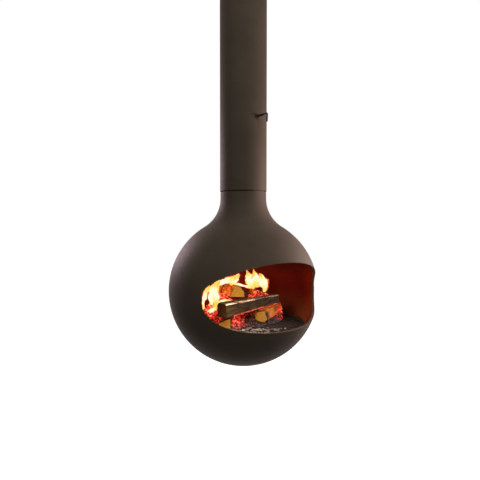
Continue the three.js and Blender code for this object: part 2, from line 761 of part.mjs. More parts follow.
function addHearth(parent) {
  const hearth = new THREE.Group();
  hearth.position.z = BALL_CENTRE_Z;
  parent.add(hearth);
  addShell(hearth);
  piece(hearth, 'opening_rim', openingRim(), paintedSteel());
  const grateSeat = GRATE_TOP - GRATE_THICKNESS - TOUCH;
  piece(hearth, 'grate_support_ring', supportRing(300, grateSeat), insideSteel());
  piece(hearth, 'pan_support_ring', supportRing(180, PAN_FLOOR - TOUCH), insideSteel());
  piece(hearth, 'ash_pan', ashPan(), castIron());
  piece(hearth, 'ash_pan_handle', ashPanHandle(), castIron());
  addFire(hearth);
}

const hangingFireplace = new THREE.Group();
addFlue(hangingFireplace);
addDamper(hangingFireplace);
addPivot(hangingFireplace);
addHearth(hangingFireplace);

export default hangingFireplace;
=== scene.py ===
import json
import math
import random

import bmesh
import bpy
import numpy as np
from mathutils import Matrix, Vector, noise


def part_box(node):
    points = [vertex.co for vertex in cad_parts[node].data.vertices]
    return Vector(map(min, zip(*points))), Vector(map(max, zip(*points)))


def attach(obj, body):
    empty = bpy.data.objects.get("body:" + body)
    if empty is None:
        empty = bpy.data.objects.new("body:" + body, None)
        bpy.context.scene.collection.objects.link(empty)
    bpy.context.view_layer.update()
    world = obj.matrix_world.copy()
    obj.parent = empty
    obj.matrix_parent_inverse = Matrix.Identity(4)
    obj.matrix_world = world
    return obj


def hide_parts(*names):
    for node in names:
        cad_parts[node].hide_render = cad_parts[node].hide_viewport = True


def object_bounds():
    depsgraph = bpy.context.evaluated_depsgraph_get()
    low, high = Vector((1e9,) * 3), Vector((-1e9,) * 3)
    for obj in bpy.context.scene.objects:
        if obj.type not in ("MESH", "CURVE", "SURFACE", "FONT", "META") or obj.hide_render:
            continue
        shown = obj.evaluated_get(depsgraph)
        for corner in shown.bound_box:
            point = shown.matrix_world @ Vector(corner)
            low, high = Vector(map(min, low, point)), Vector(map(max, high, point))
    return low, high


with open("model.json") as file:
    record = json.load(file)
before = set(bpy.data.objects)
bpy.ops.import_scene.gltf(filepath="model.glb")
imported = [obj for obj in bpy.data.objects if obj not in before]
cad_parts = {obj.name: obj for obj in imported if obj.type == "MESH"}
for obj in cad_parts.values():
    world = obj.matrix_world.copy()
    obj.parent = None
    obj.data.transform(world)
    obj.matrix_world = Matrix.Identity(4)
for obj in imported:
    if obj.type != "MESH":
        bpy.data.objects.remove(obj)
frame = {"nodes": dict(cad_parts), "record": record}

CAD_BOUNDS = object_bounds()

# ---- Driving dimensions, in metres ----

# The ball's radius as designed, and that of the faceted solids' box, which the smooth ball keeps.
DESIGN_RADIUS = 0.4
BALL_RADIUS = CAD_BOUNDS[1][0]
BALL_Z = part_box("hearth_foot")[0].z + DESIGN_RADIUS
SEAM_Z = BALL_Z + 0.527
SEAM_GAP = 0.0045
WALL = 0.003
NECK_RADIUS = 0.123
NECK_FILLET = 0.178
PIPE_RADIUS = 0.125
PIPE_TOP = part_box("flue_pipe")[1].z

OPENING_HALF_WIDTH = 0.36
OPENING_MID = 0.016
OPENING_RISE = 0.154
OPENING_DROP = 0.172
OPENING_DROP_POWER = 3
RIM_THICKNESS = 0.005
RIM_DEPTH = 0.016

GRATE_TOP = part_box("fire_grate")[1].z
DAMPER_Z = BALL_Z + 0.908
SHAFT_FRONT = 0.168

# ---- Camera: the photograph's viewpoint ----

IMAGE_SIZE = 480
SENSOR_WIDTH = 36
FOCAL_PIXELS = 450
CAMERA_DISTANCE = 2.43
CAMERA_ABOVE_BALL = 0.35
CAMERA_TURN = math.radians(35.3)
CAMERA_PITCH = math.radians(-1.9)
AXIS_COLUMN = 243.3


def add_object(name, data):
    added = bpy.data.objects.new(name, data)
    bpy.context.scene.collection.objects.link(added)
    return added


def make_camera():
    data = bpy.data.cameras.new("photo_camera")
    data.sensor_width = SENSOR_WIDTH
    data.lens = data.sensor_width * FOCAL_PIXELS / IMAGE_SIZE
    camera = add_object("photo_camera", data)
    camera.location = (
        -math.sin(CAMERA_TURN) * CAMERA_DISTANCE,
        -math.cos(CAMERA_TURN) * CAMERA_DISTANCE,
        BALL_Z + CAMERA_ABOVE_BALL,
    )
    aim_left = math.atan((AXIS_COLUMN - IMAGE_SIZE / 2) / FOCAL_PIXELS)
    camera.rotation_euler = (math.pi / 2 + CAMERA_PITCH, 0, aim_left - CAMERA_TURN)
    bpy.context.scene.camera = camera


# ---- Lights, world and floor ----

FLOOR_BELOW_BALL = 0.4
FLOOR_Z = BALL_Z - BALL_RADIUS - FLOOR_BELOW_BALL
FLOOR_REACH = 60
FLOOR_WHITE = 0.93
AMBIENT = 0.22
LAMP_TARGET = Vector((0, 0, BALL_Z + 0.35))
# How far out of the ball's centre the two lamps behind its opening are.
MOUTH_REACH = 0.335


def photo_direction(right_degrees, height):
    """A horizontal direction, turned right from the one to the camera, and raised by a height."""
    angle = math.radians(right_degrees) - CAMERA_TURN
    return Vector((math.sin(angle), -math.cos(angle), height))


def window(name, right_degrees, distance, height, size, power, colour):
    """A rectangular lamp that points at the object."""
    data = bpy.data.lights.new(name, "AREA")
    data.shape = "RECTANGLE"
    data.size, data.size_y = size
    data.energy = power
    data.color = colour
    light = add_object(name, data)
    away = photo_direction(right_degrees, 0) * distance
    light.location = LAMP_TARGET + away + Vector((0, 0, height))
    light.rotation_euler = (LAMP_TARGET - light.location).to_track_quat("-Z", "Y").to_euler()


def fire_lamp(name, place, power, colour, softness):
    """A small warm lamp inside the ball. Its place counts from the ball's centre."""
    data = bpy.data.lights.new(name, "POINT")
    data.energy = power
    data.color = colour
    data.shadow_soft_size = softness
    add_object(name, data).location = place + Vector((0, 0, BALL_Z))


def make_lights():
    window("window_right", 98, 1.4, 0.05, (0.8, 0.7), 54, (1, 0.79, 0.80))
    window("window_left", -128, 2.2, 0.45, (0.8, 0.9), 64, (1, 0.76, 0.86))
    window("room_front", 14, 3.0, 2.7, (2.5, 2.0), 116, (1, 1, 0.96))
    mouth, embers = photo_direction(3, 0.34), photo_direction(-8, -0.30)
    fire_lamp("mouth_fill", mouth * MOUTH_REACH, 4.4, (1, 0.72, 0.45), 0.035)
    fire_lamp("ember_fill", embers * MOUTH_REACH, 0.55, (1, 0.66, 0.36), 0.02)
    fire_lamp("fire_glow", Vector((-0.02, 0.02, 0.07)), 5, (1, 0.42, 0.14), 0.05)


def coloured(nodes, kind, colour):
    node = nodes.new(kind)
    node.inputs["Color"].default_value = (*colour, 1)
    return node


def seen_directly(nodes, links):
    """1 for rays from the camera, and for those that a gloss or a glass sends on."""
    path = nodes.new("ShaderNodeLightPath")
    total = path.outputs["Is Camera Ray"]
    for ray in ("Is Glossy Ray", "Is Transmission Ray"):
        add = nodes.new("ShaderNodeMath")
        add.operation = "MAXIMUM"
        links.new(total, add.inputs[0])
        links.new(path.outputs[ray], add.inputs[1])
        total = add.outputs[0]
    return total


def split_by_ray(tree, unseen, seen, output_kind):
    """Light the object with the first shader and show the second one behind it."""
    nodes, links = tree.nodes, tree.links
    mix = nodes.new("ShaderNodeMixShader")
    output = nodes.new(output_kind)
    links.new(seen_directly(nodes, links), mix.inputs[0])
    links.new(unseen.outputs[0], mix.inputs[1])
    links.new(seen.outputs[0], mix.inputs[2])
    links.new(mix.outputs[0], output.inputs["Surface"])


def make_world():
    world = bpy.data.worlds.new("studio")
    bpy.context.scene.world = world
    world.use_nodes = True
    nodes = world.node_tree.nodes
    nodes.clear()
    ambient = coloured(nodes, "ShaderNodeBackground", (0.95, 0.97, 1))
    ambient.inputs["Strength"].default_value = AMBIENT
    white = coloured(nodes, "ShaderNodeBackground", (1, 1, 1))
    white.inputs["Strength"].default_value = 1
    split_by_ray(world.node_tree, ambient, white, "ShaderNodeOutputWorld")


def make_floor():
    mesh = bpy.data.meshes.new("floor")
    corners = [
        (x * FLOOR_REACH, y * FLOOR_REACH, FLOOR_Z)
        for x, y in ((-1, -1), (1, -1), (1, 1), (-1, 1))
    ]
    mesh.from_pydata(corners, [], [(0, 1, 2, 3)])
    floor = add_object("floor", mesh)
    material = bpy.data.materials.new("pale_floor")
    material.use_nodes = True
    nodes, links = material.node_tree.nodes, material.node_tree.links
    nodes.clear()
    dim = coloured(nodes, "ShaderNodeBsdfDiffuse", (0.1, 0.1, 0.1))
    shadowed = coloured(nodes, "ShaderNodeBsdfDiffuse", (0.35, 0.35, 0.35))
    white = coloured(nodes, "ShaderNodeEmission", (1, 1, 1))
    white.inputs["Strength"].default_value = FLOOR_WHITE
    pale = nodes.new("ShaderNodeAddShader")
    links.new(shadowed.outputs[0], pale.inputs[0])
    links.new(white.outputs[0], pale.inputs[1])
    split_by_ray(material.node_tree, dim, pale, "ShaderNodeOutputMaterial")
    mesh.materials.append(material)


# ---- Materials ----


class Shader:
    """A small helper that builds one procedural material."""

    def __init__(self, name):
        self.material = bpy.data.materials.new(name)
        self.material.use_nodes = True
        self.nodes = self.material.node_tree.nodes
        self.links = self.material.node_tree.links
        self.bsdf = self.nodes["Principled BSDF"]
        self.output = self.nodes["Material Output"]

    def set(self, **values):
        for key, value in values.items():
            self.bsdf.inputs[key.replace("_", " ")].default_value = value

    def feed(self, socket, source):
        self.links.new(source, self.bsdf.inputs[socket])

    def wire(self, node, sources):
        """Feed a node's sockets from other nodes, or set them to a number or a colour."""
        for socket, source in sources.items():
            if isinstance(source, (int, float)):
                node.inputs[socket].default_value = source
            elif isinstance(source, tuple):
                node.inputs[socket].default_value = (*source, 1)
            else:
                self.links.new(source, node.inputs[socket])

    def attribute(self, name):
        source = self.nodes.new("ShaderNodeAttribute")
        source.attribute_name = name
        return source

    def value(self, attribute):
        return self.attribute(attribute).outputs["Fac"]

    def coordinates(self, attribute=None, stretch=(1, 1, 1)):
        if attribute:
            vector = self.attribute(attribute).outputs["Vector"]
        else:
            vector = self.nodes.new("ShaderNodeTexCoord").outputs["Object"]
        mapping = self.nodes.new("ShaderNodeMapping")
        mapping.inputs["Scale"].default_value = stretch
        self.links.new(vector, mapping.inputs["Vector"])
        return mapping.outputs["Vector"]

    def height(self):
        parts = self.nodes.new("ShaderNodeSeparateXYZ")
        self.links.new(self.coordinates(), parts.inputs[0])
        return parts.outputs["Z"]

    def noise(self, vector, scale, detail=4, roughness=0.55, distortion=0):
        texture = self.nodes.new("ShaderNodeTexNoise")
        self.wire(texture, {
            "Vector": vector, "Scale": scale, "Detail": detail, "Roughness": roughness,
            "Distortion": distortion,
        })
        return texture.outputs["Fac"]

    def cells(self, vector, scale):
        texture = self.nodes.new("ShaderNodeTexVoronoi")
        self.wire(texture, {"Vector": vector, "Scale": scale})
        return texture.outputs["Distance"]

    def ramp(self, factor, *stops):
        ramp = self.nodes.new("ShaderNodeValToRGB")
        elements = ramp.color_ramp.elements
        elements[-1].position = stops[-1][0]
        elements[0].position = stops[0][0]
        for position, _ in stops[1:-1]:
            elements.new(position)
        for element, (_, colour) in zip(elements, stops):
            if not isinstance(colour, tuple):
                colour = (colour, colour, colour)
            element.color = (*colour, 1)
        self.links.new(factor, ramp.inputs["Fac"])
        return ramp.outputs["Color"]

    def blend(self, factor, first, second):
        mix = self.nodes.new("ShaderNodeMix")
        mix.data_type = "RGBA"
        self.wire(mix, {0: factor, 6: first, 7: second})
        return mix.outputs[2]

    def math(self, operation, first, second):
        step = self.nodes.new("ShaderNodeMath")
        step.operation = operation
        self.wire(step, {0: first, 1: second})
        return step.outputs[0]

    def swing(self, level, pattern, amount):
        """A level that a pattern from 0 to 1 moves up and down by half the amount."""
        moved = self.math("MULTIPLY", self.math("SUBTRACT", pattern, 0.5), amount)
        return self.math("ADD", level, moved)

    def smoulder(self):
        """Glow in the cracks, where the attribute warmth says that the wood has caught fire."""
        cracks = self.noise(self.coordinates(), 70, 6, 0.65, 0.4)
        level = self.swing(self.value("warmth"), cracks, 1)
        glow = self.ramp(
            level,
            (0.40, 0),
            (0.60, (0.42, 0.035, 0.010)),
            (0.85, (0.95, 0.16, 0.06)),
            (1.0, (1.0, 0.55, 0.35)),
        )
        self.feed("Emission Color", glow)
        self.set(Emission_Strength=1.0)

    def bump(self, height, distance, strength):
        bump = self.nodes.new("ShaderNodeBump")
        self.wire(bump, {"Height": height, "Distance": distance, "Strength": strength})
        self.feed("Normal", bump.outputs["Normal"])


def painted_steel():
    """Satin brown-black stove paint with a faint orange peel."""
    s = Shader("painted_steel")
    place = s.coordinates()
    cloud = s.noise(place, 5, 3)
    brown = s.ramp(cloud, (0.3, (0.043, 0.033, 0.0235)), (0.7, (0.056, 0.043, 0.031)))
    s.feed("Base Color", brown)
    s.feed("Roughness", s.ramp(s.noise(place, 40, 5), (0.3, 0.56), (0.7, 0.64)))
    s.set(Specular_IOR_Level=0.03, Specular_Tint=(1, 0.74, 0.64, 1))
    s.bump(s.noise(place, 700, 2), 0.0004, 0.25)
    return s.material


# Where the dust with its painted ember glow below and the soot with its painted shade above the
# fire begin, from the ball's centre, and how fast they grow.
DUST_AND_GLOW_BELOW = -0.03
SOOT_AND_SHADE_ABOVE = 0.04
ZONE_SLOPE = 9


def painted_firelight_steel():
    """The inside of the ball: burnt paint, with the fire's red glow painted into its colour; dust
    with a painted orange ember glow at the bottom; soot with painted shade at the top.
    """
    s = Shader("painted_firelight_steel")
    place = s.coordinates()
    cloud = s.noise(place, 4, 6, 0.6)
    # The red is partly painted firelight: the fire's glow on the wall, put into its colour.
    red = s.ramp(cloud, (0.3, (0.095, 0.0055, 0.0022)), (0.7, (0.140, 0.0090, 0.0035)))
    # Towards the bottom the colour turns to an orange that is dust and a painted ember glow.
    low = s.math("MULTIPLY", s.math("SUBTRACT", BALL_Z + DUST_AND_GLOW_BELOW, s.height()), ZONE_SLOPE)
    dust_and_ember_glow = s.blend(s.ramp(low, (0, 0), (1, 1)), red, (0.105, 0.026, 0.010))
    # Towards the top the colour darkens to soot and painted shade.
    high = s.math("MULTIPLY", s.math("SUBTRACT", s.height(), BALL_Z + SOOT_AND_SHADE_ABOVE), ZONE_SLOPE)
    s.feed("Base Color", s.blend(s.ramp(high, (0, 0), (1, 1)), dust_and_ember_glow, (0.018, 0.003, 0.003)))
    s.feed("Roughness", s.ramp(s.noise(place, 60, 4), (0.3, 0.6), (0.7, 0.8)))
    s.set(Specular_IOR_Level=0.1)
    s.bump(s.noise(place, 300, 4), 0.0005, 0.25)
    return s.material


def mottled(name, cloud, colours, roughness, bump, grit=None, stretch=(1, 1, 1), **values):
    """A metal whose colour and roughness follow one cloud. Its bumps are the cloud's or finer."""
    s = Shader(name)
    place = s.coordinates(stretch=stretch)
    pattern = s.noise(place, *cloud)
    s.feed("Base Color", s.ramp(pattern, *colours))
    s.feed("Roughness", s.ramp(pattern, *roughness))
    s.set(**values)
    s.bump(s.noise(place, *grit) if grit else pattern, *bump)
    return s.material


def bare_steel():
    return mottled(
        "bare_steel", (60, 5), ((0.3, (0.36, 0.35, 0.34)), (0.7, (0.5, 0.49, 0.48))),
        ((0.3, 0.3), (0.7, 0.48)), (0.0002, 0.4), stretch=(1, 1, 14), Metallic=1.0)


def cast_iron():
    return mottled(
        "cast_iron", (30, 6), ((0.35, (0.008, 0.005, 0.004)), (0.7, (0.026, 0.016, 0.012))),
        ((0.3, 0.7), (0.7, 0.9)), (0.0006, 0.5), grit=(400, 5), Specular_IOR_Level=0.12)


def black_rod():
    """The damper's handle: dark oiled steel, rubbed lighter in places."""
    return mottled(
        "black_rod", (80, 4), ((0.3, (0.012, 0.010, 0.009)), (0.75, (0.035, 0.03, 0.027))),
        ((0.3, 0.35), (0.7, 0.5)), (0.0002, 0.3), grit=(900, 3), Metallic=0.6)


def bearing_bronze():
    return mottled(
        "bearing_bronze", (50, 5), ((0.3, (0.022, 0.014, 0.008)), (0.7, (0.06, 0.036, 0.02))),
        ((0.3, 0.5), (0.7, 0.65)), (0.0002, 0.3), Metallic=0.8)


def seal_rope():
    s = Shader("seal_rope")
    place = s.coordinates()
    weave = s.cells(place, 420)
    grey = s.ramp(weave, (0.0, (0.11, 0.10, 0.09)), (0.8, (0.03, 0.028, 0.026)))
    s.feed("Base Color", grey)
    s.set(Roughness=0.95)
    s.bump(weave, 0.0012, 0.8)
    return s.material


def end_grain(name, pale, dark):
    """A sawn end: growth rings round the log's heart, streaks and a burnt edge."""
    s = Shader(name)
    place = s.coordinates("grain", (0, 1, 1))
    rings = s.nodes.new("ShaderNodeTexWave")
    rings.wave_type = "RINGS"
    rings.rings_direction = "X"
    s.wire(rings, {"Vector": place, "Scale": 55, "Distortion": 3.5, "Detail": 3})
    streak = s.noise(s.coordinates("grain"), 90, 6)
    wood = s.ramp(rings.outputs["Fac"], (0.1, dark), (0.75, pale))
    wood = s.blend(0.35, wood, s.ramp(streak, (0.35, dark), (0.65, pale)))
    burnt = s.ramp(s.swing(s.value("burn"), streak, 0.7), (0.55, 0), (0.85, 1))
    s.feed("Base Color", s.blend(burnt, wood, (0.02, 0.012, 0.008)))
    s.set(Roughness=0.9, Specular_IOR_Level=0.08)
    s.bump(rings.outputs["Fac"], 0.001, 0.5)
    return s.material


def split_face(name, pale, dark):
    """A split face: long fibres, with char that creeps in from the log's ends."""
    s = Shader(name)
    fibre = s.noise(s.coordinates("grain", (4, 60, 60)), 1.8, 8, 0.65)
    coarse = s.noise(s.coordinates("grain", (6, 14, 14)), 1.5, 4)
    wood = s.ramp(fibre, (0.32, dark), (0.62, pale))
    burnt = s.ramp(s.swing(s.value("burn"), coarse, 1.1), (0.45, 0), (0.8, 1))
    s.feed("Base Color", s.blend(burnt, wood, (0.016, 0.011, 0.008)))
    s.smoulder()
    s.set(Roughness=0.92, Specular_IOR_Level=0.08)
    s.bump(fibre, 0.003, 0.7)
    return s.material


def bark(name, pale, dark):
    """Ridged bark with furrows along the log, and patches of dust in its pale colour."""
    s = Shader(name)
    furrows = s.noise(s.coordinates("grain", (9, 45, 45)), 2.2, 7, 0.6, 0.6)
    dust = s.noise(s.coordinates("grain", (60, 60, 60)), 2.0, 6, 0.7)
    wood = s.ramp(furrows, (0.36, (0.008, 0.006, 0.005)), (0.5, dark), (0.68, pale))
    s.feed("Base Color", s.blend(s.ramp(dust, (0.5, 0), (0.75, 0.5)), wood, pale))
    s.smoulder()
    s.set(Roughness=0.95, Specular_IOR_Level=0.06)
    s.bump(furrows, 0.004, 0.7)
    return s.material


def coals():
    """Charcoal that glows between its cracks. The attribute warmth says how hot a lump is."""
    s = Shader("coals")
    place = s.coordinates()
    cracks = s.noise(place, 75, 6, 0.65, 0.4)
    fine = s.noise(place, 260, 4, 0.6)
    level = s.swing(s.swing(s.value("warmth"), cracks, 1.6), fine, 0.6)
    char = s.ramp(
        fine,
        (0.35, (0.012, 0.008, 0.007)),
        (0.62, (0.06, 0.05, 0.047)),
        (0.75, (0.3, 0.28, 0.27)),
    )
    s.feed("Base Color", char)
    glow = s.ramp(
        level,
        (0.40, 0),
        (0.56, (0.20, 0.005, 0.003)),
        (0.74, (0.66, 0.018, 0.012)),
        (0.90, (1.0, 0.045, 0.022)),
        (1.0, (1.0, 0.30, 0.16)),
    )
    s.feed("Emission Color", glow)
    s.set(Roughness=0.95, Specular_IOR_Level=0.08, Emission_Strength=1.25)
    s.bump(fine, 0.003, 0.8)
    return s.material


def ash():
    s = Shader("ash")
    place = s.coordinates()
    powder = s.noise(place, 90, 6, 0.65)
    grey = s.ramp(
        powder,
        (0.35, (0.05, 0.045, 0.042)),
        (0.5, (0.13, 0.115, 0.11)),
        (0.68, (0.34, 0.32, 0.30)),
    )
    s.feed("Base Color", grey)
    s.set(Roughness=1.0, Specular_IOR_Level=0.1)
    s.bump(powder, 0.003, 0.8)
    return s.material


def flame(name, core):
    """Fire. A core is near white inside, yellow round that and orange at its tip. A veil is
    see-through and adds a red-orange light."""
    s = Shader(name)
    s.nodes.remove(s.bsdf)
    lick = s.noise(s.coordinates(stretch=(1, 1, 0.6)), 42, 4, 0.6, 0.8)
    level = s.swing(s.value("rise"), lick, 0.9)
    if core:
        colour = s.ramp(
            level,
            (0.05, (1.0, 0.66, 0.12)),
            (0.24, (1.0, 0.84, 0.26)),
            (0.38, (1.0, 0.98, 0.74)),
            (0.60, (1.0, 0.98, 0.66)),
            (0.74, (1.0, 0.80, 0.18)),
            (0.95, (1.0, 0.42, 0.05)),
        )
        solidity = s.ramp(level, (0.0, 1), (0.95, 1), (1.0, 0.3))
        join = s.nodes.new("ShaderNodeMixShader")
        s.links.new(solidity, join.inputs[0])
        first, second, strength = join.inputs[1], join.inputs[2], 1.0
    else:
        rim = s.ramp(
            level,
            (0.05, (0.80, 0.05, 0.012)),
            (0.35, (1.0, 0.16, 0.02)),
            (0.7, (1.0, 0.20, 0.02)),
            (0.95, (0.70, 0.05, 0.01)),
        )
        colour = s.blend(s.ramp(lick, (0.44, 0.0), (0.60, 1.0)), (0, 0, 0), rim)
        join = s.nodes.new("ShaderNodeAddShader")
        first, second, strength = join.inputs[0], join.inputs[1], 0.42
    light = s.nodes.new("ShaderNodeEmission")
    s.wire(light, {"Color": colour, "Strength": strength})
    clear = s.nodes.new("ShaderNodeBsdfTransparent")
    s.links.new(clear.outputs[0], first)
    s.links.new(light.outputs[0], second)
    s.links.new(join.outputs[0], s.output.inputs["Surface"])
    return s.material


# ---- Mesh helpers ----

ON_AXIS = 1e-7
ROD_SIDES = 24


def new_piece(name, mesh, materials, body, replaces=()):
    for material in materials:
        mesh.materials.append(material)
    piece = add_object(name, mesh)
    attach(piece, body)
    if replaces:
        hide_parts(*replaces)
    return piece


def smooth(mesh, below):
    """Shade every edge smooth that bends by less than an angle in degrees."""
    mesh.shade_smooth()
    mesh.set_sharp_from_angle(angle=math.radians(below))


def finish_mesh(bm, name, smooth_below=None, outward=True):
    """The mesh of a bmesh, with its normals turned outward."""
    if outward:
        bmesh.ops.recalc_face_normals(bm, faces=bm.faces)
    mesh = bpy.data.meshes.new(name)
    bm.to_mesh(mesh)
    bm.free()
    if smooth_below:
        smooth(mesh, smooth_below)
    return mesh


def circle(sides):
    return [2 * math.pi * i / sides for i in range(sides)]


def arc(centre, radius, start, end, steps):
    angles = np.linspace(start, end, steps + 1)
    return [(centre[0] + radius * math.cos(a), centre[1] + radius * math.sin(a)) for a in angles]


def bridge(bm, low, high):
    """A band of faces between two closed rows, either of which may be a single point."""
    count = max(len(low), len(high))
    band = []
    for k in range(count):
        m = (k + 1) % count
        corners = (low[k % len(low)], low[m % len(low)], high[m % len(high)], high[k % len(high)])
        band.append(bm.faces.new(list(dict.fromkeys(corners))))
    return band


def close_ends(bm, rows):
    bm.faces.new(rows[0][::-1])
    bm.faces.new(rows[-1])


def revolved(name, profile, sides, closed=True, inner_from=None):
    """A mesh of revolution about Z. Bands from inner_from on get the second material."""
    bm = bmesh.new()
    rows = []
    for radius, z in profile:
        turn = circle(sides) if radius > ON_AXIS else [0]
        rows.append([
            bm.verts.new((radius * math.sin(a), -radius * math.cos(a), z)) for a in turn
        ])
    pairs = list(zip(rows, rows[1:]))
    if closed:
        pairs.append((rows[-1], rows[0]))
    for index, (low, high) in enumerate(pairs):
        for face in bridge(bm, low, high):
            face.material_index = int(inner_from is not None and index >= inner_from)
    bm.normal_update()
    return finish_mesh(bm, name, smooth_below=35, outward=False)


def rod_mesh(name, path, radius_at):
    """A round rod along a path in the YZ plane."""
    bm = bmesh.new()
    rows = []
    last = len(path) - 1
    for i, point in enumerate(path):
        along = (Vector(path[min(i + 1, last)]) - Vector(path[max(i - 1, 0)])).normalized()
        across = Vector((1, 0, 0))
        up = along.cross(across)
        radius = radius_at(i / last)
        rows.append([
            bm.verts.new(Vector(point) + radius * (math.cos(a) * across + math.sin(a) * up))
            for a in circle(ROD_SIDES)
        ])
    for low, high in zip(rows, rows[1:]):
        bridge(bm, low, high)
    close_ends(bm, rows)
    return finish_mesh(bm, name, smooth_below=50)


def cut_away(piece, cutter):
    modifier = piece.modifiers.new("cut", "BOOLEAN")
    modifier.operation = "DIFFERENCE"
    modifier.solver = "EXACT"
    modifier.object = cutter
    graph = bpy.context.evaluated_depsgraph_get()
    result = bpy.data.meshes.new_from_object(piece.evaluated_get(graph))
    piece.modifiers.clear()
    piece.data = result


# ---- Hearth: ball, neck and rim ----

SHELL_NODES = [n for n in frame["nodes"] if n.startswith("hearth_")]
# How finely the outer and inner face of the ball and the fillet of its neck are divided.
OUTER_STEPS = (96, 24)
INNER_STEPS = (72, 18)
BALL_SIDES = 192
PIPE_SIDES = 160
OUTLINE_FINENESS = 2400
CUTTER_POINTS = 200
CUTTER_PAST_BALL = 0.05
RIM_POINTS = 360
SHEET_EDGE = 0.0006
RIM_EASE = 0.0009


def hearth_profile(grow, ball_steps, fillet_steps):
    """The ball and its neck from the lowest point up to the seam, as radius and height."""
    reach = BALL_RADIUS + NECK_FILLET
    fillet_r = NECK_RADIUS + NECK_FILLET
    fillet_z = math.sqrt(reach**2 - fillet_r**2)
    tangent = math.atan2(fillet_z, fillet_r)
    ball = arc((0, BALL_Z), BALL_RADIUS + grow, -math.pi / 2, tangent, ball_steps)
    ball[0] = (0, ball[0][1])
    fillet = arc(
        (fillet_r, BALL_Z + fillet_z), NECK_FILLET - grow,
        tangent + math.pi, math.pi, fillet_steps)
    return ball + fillet[1:] + [(NECK_RADIUS + grow, SEAM_Z - SEAM_GAP / 2)]


def opening_outline(grow, count):
    """The opening seen from the front: an ellipse above its widest line, squarer below."""
    points = []
    for i in range(count):
        angle = 2 * math.pi * i / count
        upper = math.sin(angle) >= 0
        power = 2 if upper else OPENING_DROP_POWER
        height = (OPENING_RISE if upper else OPENING_DROP) + grow

        def curve(value):
            return math.copysign(abs(value) ** (2 / power), value)

        points.append((
            (OPENING_HALF_WIDTH + grow) * curve(math.cos(angle)),
            OPENING_MID + height * curve(math.sin(angle)),
        ))
    return points


def even_outline(grow, count):
    """The opening's outline with its points spaced evenly along it."""
    fine = np.array(opening_outline(grow, OUTLINE_FINENESS))
    fine = np.vstack([fine, fine[:1]])
    run = np.concatenate([[0], np.cumsum(np.hypot(*np.diff(fine, axis=0).T))])
    wanted = np.linspace(0, run[-1], count, endpoint=False)
    return np.column_stack([np.interp(wanted, run, fine[:, k]) for k in (0, 1)])


def opening_cutter(grow):
    outline = even_outline(grow, CUTTER_POINTS)
    bm = bmesh.new()
    rows = [
        [bm.verts.new((x, y, BALL_Z + z)) for x, z in outline]
        for y in (-BALL_RADIUS - CUTTER_PAST_BALL, 0)
    ]
    bridge(bm, *rows)
    close_ends(bm, rows)
    return add_object("opening_cutter", finish_mesh(bm, "opening_cutter"))


def make_shell(paint, inside):
    outer = hearth_profile(0, *OUTER_STEPS)
    inner = hearth_profile(-WALL, *INNER_STEPS)[::-1]
    top_z = outer[-1][1]
    outer[-1:] = [(NECK_RADIUS, top_z - SHEET_EDGE), (NECK_RADIUS - SHEET_EDGE, top_z)]
    mesh = revolved("hearth_ball", outer + inner, BALL_SIDES, closed=False, inner_from=len(outer))
    cutter = opening_cutter(RIM_THICKNESS)
    shell = new_piece(
        "hearth_ball", mesh, [paint, inside], "hearth", SHELL_NODES)
    cut_away(shell, cutter)
    bpy.data.objects.remove(cutter)
    smooth(shell.data, below=30)


def ball_front(x, z):
    """Where the ball's surface is in front of a point of the opening."""
    return -math.sqrt(BALL_RADIUS**2 - x * x - z * z)


def make_rim(paint):
    """The band round the opening, with its front edges eased by a small radius."""
    inner = even_outline(0, RIM_POINTS)
    tangent = np.roll(inner, -1, axis=0) - np.roll(inner, 1, axis=0)
    outward = np.column_stack([tangent[:, 1], -tangent[:, 0]])
    outward /= np.hypot(*outward.T)[:, None]
    section = [
        (0, RIM_DEPTH), (0, RIM_EASE), (0.3 * RIM_EASE, 0.3 * RIM_EASE), (RIM_EASE, 0),
        (RIM_THICKNESS, 0), (RIM_THICKNESS, RIM_DEPTH),
    ]
    bm = bmesh.new()
    rows = []
    for (x, z), (nx, nz) in zip(inner, outward):
        row = []
        for out, deep in section:
            px, pz = x + nx * out, z + nz * out
            row.append(bm.verts.new((px, ball_front(px, pz) + deep, BALL_Z + pz)))
        rows.append(row)
    for row, after in zip(rows, rows[1:] + rows[:1]):
        bridge(bm, row, after)
    mesh = finish_mesh(bm, "rim_band", smooth_below=40)
    new_piece("rim_band", mesh, [paint], "hearth", ["opening_rim"])


# ---- Pipe, cover and damper handle ----

PIPE_EDGE = 0.0018


def make_pipe(paint):
    bottom = SEAM_Z + SEAM_GAP / 2
    bore = PIPE_RADIUS - WALL
    profile = [
        (bore, bottom), (PIPE_RADIUS - PIPE_EDGE, bottom), (PIPE_RADIUS, bottom + PIPE_EDGE),
        (PIPE_RADIUS, PIPE_TOP), (bore, PIPE_TOP),
    ]
    mesh = revolved("flue_tube", profile, PIPE_SIDES)
    new_piece("flue_tube", mesh, [paint], "flue", ["flue_pipe"])


def make_cover(paint):
    """The ceiling cover: a spun dish with a rounded edge and a sleeve round the pipe."""
    low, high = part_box("ceiling_cover")
    radius = high.x
    wall, corner, sleeve_drop, gap, corner_steps = 0.002, 0.010, 0.020, 0.002, 12
    sleeve = PIPE_RADIUS + gap
    floor_z = low.z + sleeve_drop
    middle = (radius - corner, floor_z + corner)
    outer = arc(middle, corner, -math.pi / 2, 0, corner_steps)
    inner = arc(middle, corner - wall, 0, -math.pi / 2, corner_steps)
    profile = [
        (sleeve, low.z), (sleeve + wall, low.z), (sleeve + wall, floor_z), *outer,
        (radius, high.z), (radius - wall, high.z), *inner, (sleeve, floor_z + wall),
    ]
    mesh = revolved("spun_cover", profile, PIPE_SIDES)
    new_piece("spun_cover", mesh, [paint], "flue", ["ceiling_cover"])


